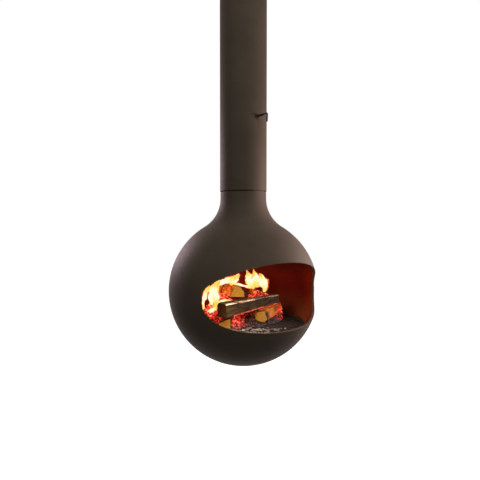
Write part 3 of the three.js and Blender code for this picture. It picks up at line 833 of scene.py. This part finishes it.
def make_handle(steel):
    """The damper's handle: a rod that runs out to the front and bends down at its end."""
    low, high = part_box("damper_handle")
    radius = high.x
    front = low.y + radius
    bend, bend_steps, bend_out = 0.009, 10, 0.0005
    end_in, taper_length, tip, tip_share = 0.003, 0.002, 0.0015, 0.8
    points = [(0, -SHAFT_FRONT, DAMPER_Z), (0, front + bend, DAMPER_Z)]
    for i in range(1, bend_steps):
        t = i / bend_steps
        y = (1 - t) ** 2 * (front + bend) + 2 * t * (1 - t) * front + t * t * (front + bend_out)
        points.append((0, y, DAMPER_Z + t * t * -bend))
    points.append((0, front + bend_out, DAMPER_Z - bend))
    end = Vector((0, front + end_in, low.z + tip))
    for rise in (taper_length, 0, -tip):
        points.append(tuple(end + Vector((0, 0, rise))))
    mesh = rod_mesh("bent_handle", points, lambda t: radius * (tip_share if t == 1 else 1))
    new_piece("bent_handle", mesh, [steel], "damper", ["damper_handle"])


# ---- Logs ----

# The kinds of surface on a log, by the place of their materials.
SPLIT, BARK, END, ASHY = range(4)
# Each log runs from its near end to its far end, as in the part: heights count from the
# ball's centre. The outline is the section at the near end, in half widths and half heights,
# and each stretch of it is of one kind.
LOGS = {
    "log_front": {
        "near": (-0.230, -0.145, -0.068), "far": (0.148, -0.101, -0.047),
        "size": (0.080, 0.080), "taper": 0.6, "seed": 3,
        "outline": [
            (-0.95, -0.74, SPLIT), (-0.70, -0.93, SPLIT), (0.80, -0.92, SPLIT),
            (0.97, -0.70, SPLIT), (0.97, 0.62, SPLIT), (0.70, 0.97, BARK),
            (-0.60, 0.98, ASHY), (-0.94, 0.82, BARK),
        ],
    },
    "log_upper": {
        "near": (-0.080, -0.062, 0.002), "far": (0.095, 0.140, -0.066),
        "size": (0.092, 0.072), "taper": 0.85, "seed": 11,
        "outline": [
            (-0.96, -0.82, SPLIT), (0.97, -0.88, SPLIT), (0.80, -0.15, SPLIT),
            (0.42, 0.85, SPLIT), (0.05, 0.97, BARK), (-0.48, 0.74, BARK),
            (-0.86, 0.05, BARK),
        ],
    },
    "log_lower_left": {
        "near": (-0.203, -0.128, -0.137), "far": (-0.030, 0.112, -0.135),
        "size": (0.070, 0.056), "taper": 1.0, "seed": 23,
        "outline": [
            (-0.97, -0.95, SPLIT), (0.10, -0.86, SPLIT), (0.75, -0.55, SPLIT),
            (0.97, -0.10, SPLIT), (0.30, 0.35, SPLIT), (-0.80, 0.97, SPLIT),
            (-0.97, 0.80, BARK),
        ],
    },
    "log_lower_right": {
        "near": (0.014, -0.138, -0.126), "far": (0.262, 0.030, -0.122),
        "size": (0.084, 0.068), "taper": 0.9, "seed": 31,
        "outline": [
            (-0.95, -0.42, SPLIT), (-0.50, -0.95, BARK), (0.20, -0.93, BARK),
            (0.74, -0.55, BARK), (0.97, 0.35, SPLIT), (0.50, 0.74, SPLIT),
            (-0.55, 0.97, SPLIT),
        ],
    },
}


def log_basis(near, far):
    start = Vector(near) + Vector((0, 0, BALL_Z))
    end = Vector(far) + Vector((0, 0, BALL_Z))
    along = (end - start).normalized()
    across = Vector((0, 0, 1)).cross(along).normalized()
    up = along.cross(across)
    turn = Matrix((along, across, up)).transposed().to_4x4()
    return Matrix.Translation(start) @ turn, (end - start).length


def log_section(outline, half_width, half_height, per_edge):
    """Points round the section with the kind of surface that each one starts."""
    points = []
    count = len(outline)
    for i, (x, y, kind) in enumerate(outline):
        nx, ny, _ = outline[(i + 1) % count]
        for k in range(per_edge):
            t = k / per_edge
            points.append((
                (x + (nx - x) * t) * half_width, (y + (ny - y) * t) * half_height, kind))
    return points


def log_heat(name, t, across, up):
    """How far a place on a log has caught fire: t runs along it, the others over its section."""
    if name == "log_lower_right":
        return min(1, max(0, (t - 0.2) / 0.6)) * (0.66 - 0.2 * up)
    if name == "log_front" and up < -0.7 and across < -0.3:
        return 0.75 if 0.12 < t < 0.7 else 0.3
    return 0


def dented(kind, spot):
    """What furrows in the bark or fibres in split wood leave of a section's size."""
    along, across, depth = (16, 75, 0.045) if kind == BARK else (7, 110, 0.028)
    relief = noise.fractal(Vector((spot.x * along, spot.y * across, spot.z * across)), 0.9, 2.1, 4)
    return 1 - depth * (1 + relief)


EDGE_STEPS = 9
LOG_STATIONS = 70
LOG_END_RINGS = 6
# How much a log's thickness varies along it, and how much it narrows at its ends.
LOG_SWELL = 0.05
LOG_END_EASE = 0.05
END_ROUGHNESS = 0.0012
END_INSET = 0.9


def make_log(name, spec, materials):
    basis, length = log_basis(spec["near"], spec["far"])
    half_width, half_height = spec["size"][0] / 2, spec["size"][1] / 2
    section = log_section(spec["outline"], half_width, half_height, EDGE_STEPS)
    seed, taper = spec["seed"], spec["taper"]
    offset = Vector((seed * 3.1, 0, 0))
    bm = bmesh.new()
    grain = bm.verts.layers.float_vector.new("grain")
    burn = bm.verts.layers.float.new("burn")
    warmth = bm.verts.layers.float.new("warmth")

    def vertex(x, y, z, char, heat=0.0):
        v = bm.verts.new(basis @ Vector((x, y, z)))
        v[grain] = (x, y, z)
        v[burn] = char
        v[warmth] = heat
        return v

    rows = []
    for s in range(LOG_STATIONS + 1):
        t = s / LOG_STATIONS
        x = t * length
        shrink = 1 + (taper - 1) * t
        end_ease = 1 - LOG_END_EASE * max(0, 1 - min(t, 1 - t) * LOG_STATIONS / 1.5)
        row = []
        for y, z, kind in section:
            spot = Vector((x, y, z)) + offset
            swell = 1 - LOG_SWELL * abs(noise.noise(Vector((spot.x * 9, 0.4, seed))))
            scale = shrink * dented(kind, spot) * swell * end_ease
            char = 0.25 + 0.55 * abs(2 * t - 1) ** 3 + 0.3 * noise.noise(spot * 14)
            heat = log_heat(name, t, y / half_width, z / half_height)
            row.append(vertex(x, y * scale, z * scale, char, heat))
        rows.append(row)
    for low, high in zip(rows, rows[1:]):
        for face, (_, _, kind) in zip(bridge(bm, low, high), section):
            face.material_index = kind
    for outer, x, near, shrink in ((rows[0], 0, True, 1), (rows[-1], length, False, taper)):
        rings = []
        for step in range(1, LOG_END_RINGS):
            inward = 1 - step / LOG_END_RINGS
            ring = []
            for y, z, kind in section:
                char = (1.0 if kind == BARK else 0.5) * inward**3
                rough = END_ROUGHNESS * noise.noise(Vector((y * 160, z * 160, seed + x)))
                y, z = (side * shrink * inward * END_INSET for side in (y, z))
                ring.append(vertex(x + rough, y, z, char))
            rings.append(ring)
        rings.append([vertex(x, 0, 0, 0)])
        for ring in rings:
            for face in bridge(bm, outer, ring) if near else bridge(bm, ring, outer):
                face.material_index = END
            outer = ring
    mesh = finish_mesh(bm, name, smooth_below=50)
    new_piece("wood_" + name[4:], mesh, materials, "grate", [name])


def make_logs():
    dark = (
        split_face("dark_split", (0.075, 0.048, 0.022), (0.03, 0.019, 0.010)),
        bark("grey_bark", (0.046, 0.029, 0.014), (0.019, 0.012, 0.006)),
        end_grain("dark_end", (0.12, 0.06, 0.028), (0.05, 0.026, 0.014)),
        bark("ash_bark", (0.70, 0.58, 0.46), (0.06, 0.04, 0.025)),
    )
    pale = (
        split_face("pale_split", (0.36, 0.12, 0.018), (0.16, 0.045, 0.008)),
        bark("brown_bark", (0.035, 0.020, 0.012), (0.012, 0.007, 0.005)),
        end_grain("pale_end", (0.47, 0.27, 0.055), (0.24, 0.12, 0.022)),
    )
    for name, spec in LOGS.items():
        make_log(name, spec, dark if name == "log_front" else pale)


# ---- Embers, ash and flames ----

# A lump squashed flatter than this is a flake, which lies lengthwise along the grate.
FLAKE_BELOW = 0.4
FLAKE_TURN = (-0.55, 0.3)
FLAKE_STRETCH = (2.4, 0.7, 1)
LUMP_TURN = 6.28
LUMP_STRETCH = (1, 0.8, 0.65)


def lump_shapes(count, seed):
    """Unit lumps of charcoal: small angular stones, as vertices and triangles."""
    shapes = []
    for i in range(count):
        bm = bmesh.new()
        bmesh.ops.create_icosphere(bm, subdivisions=2, radius=1)
        for v in bm.verts:
            cell = noise.cell_vector(v.co * 1.4 + Vector((i * 7.3 + seed, 0, 0)))
            rough = noise.fractal(v.co * 1.7 + Vector((i * 5.1, seed, 0)), 1, 2, 3)
            v.co *= 0.82 + 0.22 * (cell.x - 0.5) + 0.16 * rough
        bm.normal_update()
        verts = np.array([v.co for v in bm.verts])
        faces = np.array([[v.index for v in f.verts] for f in bm.faces])
        bm.free()
        shapes.append((verts, faces))
    return shapes


def scattered(name, spots, shapes, rng, material):
    """One mesh of many lumps. A spot is (place, size, squash, warmth)."""
    all_verts, all_faces, warmths = [], [], []
    base = 0
    for place, size, squash, warmth in spots:
        verts, faces = shapes[rng.randrange(len(shapes))]
        if squash < FLAKE_BELOW:
            axis, angle, stretch = Vector((0, 0, 1)), rng.gauss(*FLAKE_TURN), FLAKE_STRETCH
        else:
            axis, stretch = Vector([rng.gauss(0, 1) for _ in range(3)]), LUMP_STRETCH
            angle = rng.uniform(0, LUMP_TURN)
        spin = np.array(Matrix.Rotation(angle, 3, axis))
        shaped = (verts * np.array(stretch)) @ spin.T * size
        shaped[:, 2] *= squash
        all_verts.append(shaped + np.array(place))
        all_faces.append(faces + base)
        warmths.append(np.full(len(verts), warmth))
        base += len(verts)
    mesh = bpy.data.meshes.new(name)
    mesh.from_pydata(np.vstack(all_verts).tolist(), [], np.vstack(all_faces).tolist())
    layer = mesh.attributes.new("warmth", "FLOAT", "POINT")
    layer.data.foreach_set("value", np.concatenate(warmths).astype(np.float32))
    smooth(mesh, below=24)
    new_piece(name, mesh, [material], "grate")


def in_log(place, margin):
    """Whether a point lies inside one of the logs."""
    for spec in LOGS.values():
        basis, length = log_basis(spec["near"], spec["far"])
        local = basis.inverted() @ Vector(place)
        along = local.x / length
        if not -0.02 < along < 1.02:
            continue
        shrink = 1 + (spec["taper"] - 1) * along
        y = local.y / (spec["size"][0] / 2 * shrink + margin)
        z = local.z / (spec["size"][1] / 2 * shrink + margin)
        if max(abs(y), abs(z)) < 1:
            return True
    return False


BED_CENTRE = Vector((0, 0.050, 0))
BED_HALF_WIDTH = 0.275
BED_HALF_DEPTH = 0.200
BED_HEIGHT = 0.036
BED_RINGS = 40
BED_SIDES = 150
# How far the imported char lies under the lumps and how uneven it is.
BED_SUNK = 0.004
BED_ROUGH = 0.004
# The heights of its underside and of its edge above the grate.
BED_UNDERSIDE = 0.0003
BED_LOWEST = 0.0004
BED_WARMTH = 0.12
EMBER_COUNT = 1500
EMBER_SIZES = (0.004, 0.012)
# How far an ember sits out of the bed, as a share of its size, and how its warmth varies.
EMBER_LIFT = (-0.2, 0.4)
EMBER_WARMTH = (-0.38, 0.26)
EMBER_SQUASH = 0.85
# Ash lies in a sector of the grate: direction in degrees and distance, each with its spread.
ASH_COUNT = 100
ASH_DIRECTION = (249, 16)
ASH_DISTANCE = (0.235, 0.034)
ASH_REACH = 0.31
# Heaps behind the logs: place from the bed's centre, height and spread.
HEAPS = [
    ((0.150, 0.025), 0.120, 0.095),
    ((-0.060, 0.075), 0.115, 0.090),
    ((-0.190, 0), 0.060, 0.080),
    ((0.215, -0.060), 0.080, 0.075),
]
# Where the embers burn hottest: place from the ball's axis, reach and extra warmth.
HOT_SPOTS = [
    ((-0.11, -0.09), 0.06, 0.46),
    ((-0.20, 0.05), 0.15, 0.50),
    ((0.16, 0.08), 0.15, 0.46),
    ((0.22, -0.05), 0.10, 0.38),
    ((-0.05, 0.13), 0.15, 0.46),
]


def bed_height(u, v):
    """Height of the bed over a place given in fractions of its half width and depth."""
    inward = math.sqrt(max(0, 1 - u * u - v * v))
    heaped = 0
    for (x, y), height, spread in HEAPS:
        away = math.hypot(u * BED_HALF_WIDTH - x, v * BED_HALF_DEPTH - y) / spread
        heaped += height * math.exp(-away * away)
    return inward * (BED_HEIGHT + heaped)


def bed_point(u, v, above=0):
    return Vector((
        BED_CENTRE.x + u * BED_HALF_WIDTH,
        BED_CENTRE.y + v * BED_HALF_DEPTH,
        GRATE_TOP + bed_height(u, v) + above,
    ))


def warmth_at(x, y):
    warmth = BED_WARMTH
    for (cx, cy), reach, extra in HOT_SPOTS:
        away = math.hypot(x - cx, y - cy) / reach
        warmth += extra * math.exp(-away * away)
    return warmth


def make_ember_bed(material):
    """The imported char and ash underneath, as one uneven sheet that reaches the grate."""
    bm = bmesh.new()
    layer = bm.verts.layers.float.new("warmth")
    rows = []
    for r in range(BED_RINGS + 1):
        reach = r / BED_RINGS
        row = []
        for angle in circle(BED_SIDES) if r else [0]:
            point = bed_point(reach * math.cos(angle), reach * math.sin(angle), -BED_SUNK)
            grit = Vector((point.x * 55, point.y * 55, 4.2))
            point.z += BED_ROUGH * noise.fractal(grit, 1, 2, 3)
            point.z = max(point.z, GRATE_TOP + BED_LOWEST)
            v = bm.verts.new(point)
            v[layer] = warmth_at(point.x, point.y)
            row.append(v)
        rows.append(row)
    rows.append([bm.verts.new((v.co.x, v.co.y, GRATE_TOP + BED_UNDERSIDE)) for v in rows[-1]])
    for low, high in zip(rows, rows[1:]):
        for k in range(BED_SIDES):
            m = (k + 1) % BED_SIDES
            corners = (low[k % len(low)], high[k], high[m], low[m % len(low)])
            bm.faces.new(list(dict.fromkeys(corners)))
    bm.faces.new(rows[-1][::-1])
    mesh = finish_mesh(bm, "ember_base", smooth_below=60)
    new_piece("ember_base", mesh, [material], "grate", ["ember_bed"])


def make_embers(material):
    rng = random.Random(41)
    shapes = lump_shapes(9, 2)
    spots = []
    while len(spots) < EMBER_COUNT:
        angle, reach = rng.uniform(0, 2 * math.pi), math.sqrt(rng.random()) * 0.99
        size = rng.uniform(*EMBER_SIZES)
        place = bed_point(
            reach * math.cos(angle), reach * math.sin(angle), size * rng.uniform(*EMBER_LIFT))
        if in_log(place, -EMBER_SIZES[0]):
            continue
        warmth = warmth_at(place.x, place.y) + rng.uniform(*EMBER_WARMTH)
        spots.append((tuple(place), size, EMBER_SQUASH, warmth))
    scattered("ember_lumps", spots, shapes, rng, material)


def make_ash(material):
    """Flakes and crumbs of pale ash along the front of the grate, and one larger lump."""
    rng = random.Random(17)
    shapes = lump_shapes(6, 9)
    spots = [((0.060, -0.278, GRATE_TOP + 0.004), 0.011, 0.6, 0)]
    for _ in range(ASH_COUNT):
        angle = math.radians(rng.gauss(*ASH_DIRECTION))
        reach = rng.gauss(*ASH_DISTANCE)
        if reach > ASH_REACH:
            continue
        x, y = reach * math.cos(angle), reach * math.sin(angle)
        size = 0.002 + 0.008 * rng.random() ** 2
        spots.append(((x, y, GRATE_TOP + size * 0.2), size, rng.choice((0.3, 0.3, 0.5)), 0))
    scattered("ash_crumbs", spots, shapes, rng, material)


# Tongues of fire, each as how far it is behind the ball's centre and its points from foot to
# tip: right of and above that centre, as the photograph shows it, with the half width there.
TONGUES = [
    (-0.04, ((-0.208, -0.109, 0.0117), (-0.2145, -0.071, 0.0058), (-0.208, -0.034, 0.0138),
        (-0.194, 0.004, 0.0127), (-0.178, 0.036, 0.0064))),
    (-0.02, ((-0.18, -0.113, 0.0139), (-0.172, -0.075, 0.0118), (-0.174, -0.037, 0.0161),
        (-0.164, 0.001, 0.0182), (-0.142, 0.039, 0.0139), (-0.126, 0.066, 0.0054))),
    (-0.06, ((-0.145, -0.094, 0.0179), (-0.142, -0.052, 0.0158), (-0.145, -0.014, 0.0169),
        (-0.137, 0.023, 0.0126), (-0.124, 0.055, 0.0053))),
    (-0.09, ((-0.19, -0.11, 0.0078), (-0.169, -0.097, 0.0114), (-0.149, -0.089, 0.0094),
        (-0.128, -0.073, 0.0042))),
    (-0.15, ((-0.147, -0.056, 0.0103), (-0.116, -0.041, 0.0088), (-0.085, -0.034, 0.0057),
        (-0.059, -0.032, 0.0026))),
    (0, ((-0.197, -0.013, 0.0086), (-0.165, 0.017, 0.013), (-0.121, 0.039, 0.014),
        (-0.078, 0.053, 0.0173), (-0.04, 0.066, 0.014), (-0.018, 0.082, 0.0065))),
    (0.02, ((-0.073, 0.023, 0.0082), (-0.051, 0.047, 0.0185), (-0.032, 0.067, 0.0174),
        (-0.024, 0.086, 0.0065))),
    (0.06, ((-0.069, 0.028, 0.0055), (-0.036, 0.023, 0.0072), (0.003, 0.013, 0.0066),
        (0.037, 0.007, 0.01), (0.059, 0.006, 0.0083))),
    (0.06, ((0.064, 0.001, 0.0166), (0.042, 0.023, 0.0232), (0.031, 0.051, 0.0199),
        (0.026, 0.079, 0.0133), (0.017, 0.101, 0.0055))),
    (0.07, ((0.087, 0.005, 0.0222), (0.076, 0.033, 0.0311), (0.07, 0.061, 0.0222),
        (0.062, 0.083, 0.0111), (0.056, 0.105, 0.005))),
    (0.06, ((0.114, -0.022, 0.01), (0.12, 0.006, 0.0188), (0.109, 0.04, 0.0232),
        (0.098, 0.067, 0.0166), (0.087, 0.081, 0.0077))),
    (0.06, ((0.02, 0.023, 0.0066), (0.023, 0.051, 0.0122), (0.042, 0.067, 0.0122),
        (0.064, 0.073, 0.0077))),
]

# Low orange fire among the embers behind the logs, given in the same way.
LOW_TONGUES = [
    (0.04, ((-0.124, -0.069, 0.0132), (-0.121, -0.03, 0.0165), (-0.118, 0.003, 0.0143),
        (-0.112, 0.031, 0.0066))),
    (0.06, ((-0.097, -0.066, 0.0144), (-0.094, -0.027, 0.0177), (-0.088, 0.006, 0.0155),
        (-0.08, 0.028, 0.0066))),
    (0.09, ((-0.07, -0.049, 0.0112), (-0.067, -0.015, 0.0146), (-0.058, 0.01, 0.0112),
        (-0.047, 0.027, 0.005))),
    (-0.04, ((-0.162, -0.114, 0.0138), (-0.157, -0.066, 0.017), (-0.141, -0.018, 0.0159),
        (-0.125, 0.02, 0.008))),
    (0.11, ((0.026, -0.075, 0.0135), (0.043, -0.046, 0.0158), (0.06, -0.024, 0.0113),
        (0.071, -0.006, 0.0051))),
    (-0.06, ((-0.193, -0.132, 0.0095), (-0.177, -0.105, 0.0126), (-0.156, -0.089, 0.0095),
        (-0.14, -0.078, 0.0042))),
]


def along_curve(points, t):
    """A smooth curve through the points, after Catmull and Rom."""
    place = min(max(t, 0), 1) * (len(points) - 1)
    i = min(int(place), len(points) - 2)
    f = place - i
    p = [np.array(points[min(max(i + k, 0), len(points) - 1)]) for k in (-1, 0, 1, 2)]
    return 0.5 * (
        2 * p[1] + (p[2] - p[0]) * f + (2 * p[0] - 5 * p[1] + 4 * p[2] - p[3]) * f**2
        + (3 * p[1] - p[0] - 3 * p[2] + p[3]) * f**3)


TONGUE_SIDES = 18
TONGUE_STATIONS = 26
TONGUE_DEPTH = 0.7
TONGUE_THINNEST = 0.002


def add_tongue(bm, rise, away, points, seed, thickness):
    """One closed tongue whose section is an oval with a ragged edge."""
    turn = Matrix.Rotation(-CAMERA_TURN, 3, "Z")
    rows = []
    for s in range(TONGUE_STATIONS + 1):
        t = s / TONGUE_STATIONS
        right, up, half_width = along_curve(points, t)
        ahead = along_curve(points, min(t + 0.02, 1)) - along_curve(points, max(t - 0.02, 0))
        slope = math.hypot(ahead[0], ahead[1]) or 1
        across = (ahead[1] / slope, -ahead[0] / slope)
        ends = math.sin(math.pi * min(1, 0.12 + 0.88 * t)) ** 0.35 if 0 < t < 1 else 0.15
        radius = max(half_width, TONGUE_THINNEST) * thickness * ends
        row = []
        for angle in circle(TONGUE_SIDES):
            spot = Vector((math.cos(angle) * 1.6, math.sin(angle) * 1.6 + seed * 3, t * 9))
            ragged = 1 + 0.55 * noise.noise(spot)
            wide = radius * ragged * math.cos(angle)
            deep = TONGUE_DEPTH * radius * ragged * math.sin(angle)
            point = Vector((right + across[0] * wide, away + deep, up + across[1] * wide))
            v = bm.verts.new(turn @ point + Vector((0, 0, BALL_Z)))
            v[rise] = t
            row.append(v)
        rows.append(row)
    for low, high in zip(rows, rows[1:]):
        bridge(bm, low, high)
    close_ends(bm, rows)


def make_flames(name, material, thickness, tongues):
    bm = bmesh.new()
    rise = bm.verts.layers.float.new("rise")
    for seed, (away, points) in enumerate(tongues):
        add_tongue(bm, rise, away, points, seed, thickness)
    mesh = finish_mesh(bm, name, smooth_below=80)
    new_piece(name, mesh, [material], "grate")


# ---- Carried-over CAD nodes ----

CAD_EDGE = 0.0005


def dress_cad_nodes(paint, inside):
    by_slot = {
        "shell_paint": paint,
        "black_steel": inside,
        "bare_steel": bare_steel(),
        "iron": cast_iron(),
        "bronze": bearing_bronze(),
        "seal_rope": seal_rope(),
    }
    slots = {row["node"]: row["material_slot"] for row in frame["record"]["subparts"]}
    for name, node in frame["nodes"].items():
        material = by_slot.get(slots[name])
        if material is None or node.hide_render:
            continue
        node.data.materials.clear()
        node.data.materials.append(material)
        bevel = node.modifiers.new("eased_edges", "BEVEL")
        bevel.width = CAD_EDGE
        bevel.segments = 2
        bevel.limit_method = "ANGLE"
        bevel.angle_limit = math.radians(40)


# ---- Build ----

make_camera()
make_world()
make_floor()
make_lights()

paint = painted_steel()
inside = painted_firelight_steel()
make_shell(paint, inside)
make_rim(paint)
make_pipe(paint)
make_cover(paint)
make_handle(black_rod())
make_logs()
charcoal = coals()
make_ember_bed(charcoal)
make_embers(charcoal)
make_ash(ash())
veil = flame("flame_veil", False)
make_flames("flame_cores", flame("flame_core", True), 0.85, TONGUES)
make_flames("flame_veils", veil, 1.2, TONGUES)
make_flames("low_flames", veil, 1.3, LOW_TONGUES)
dress_cad_nodes(paint, inside)

scene = bpy.context.scene
scene.view_settings.view_transform = "Standard"
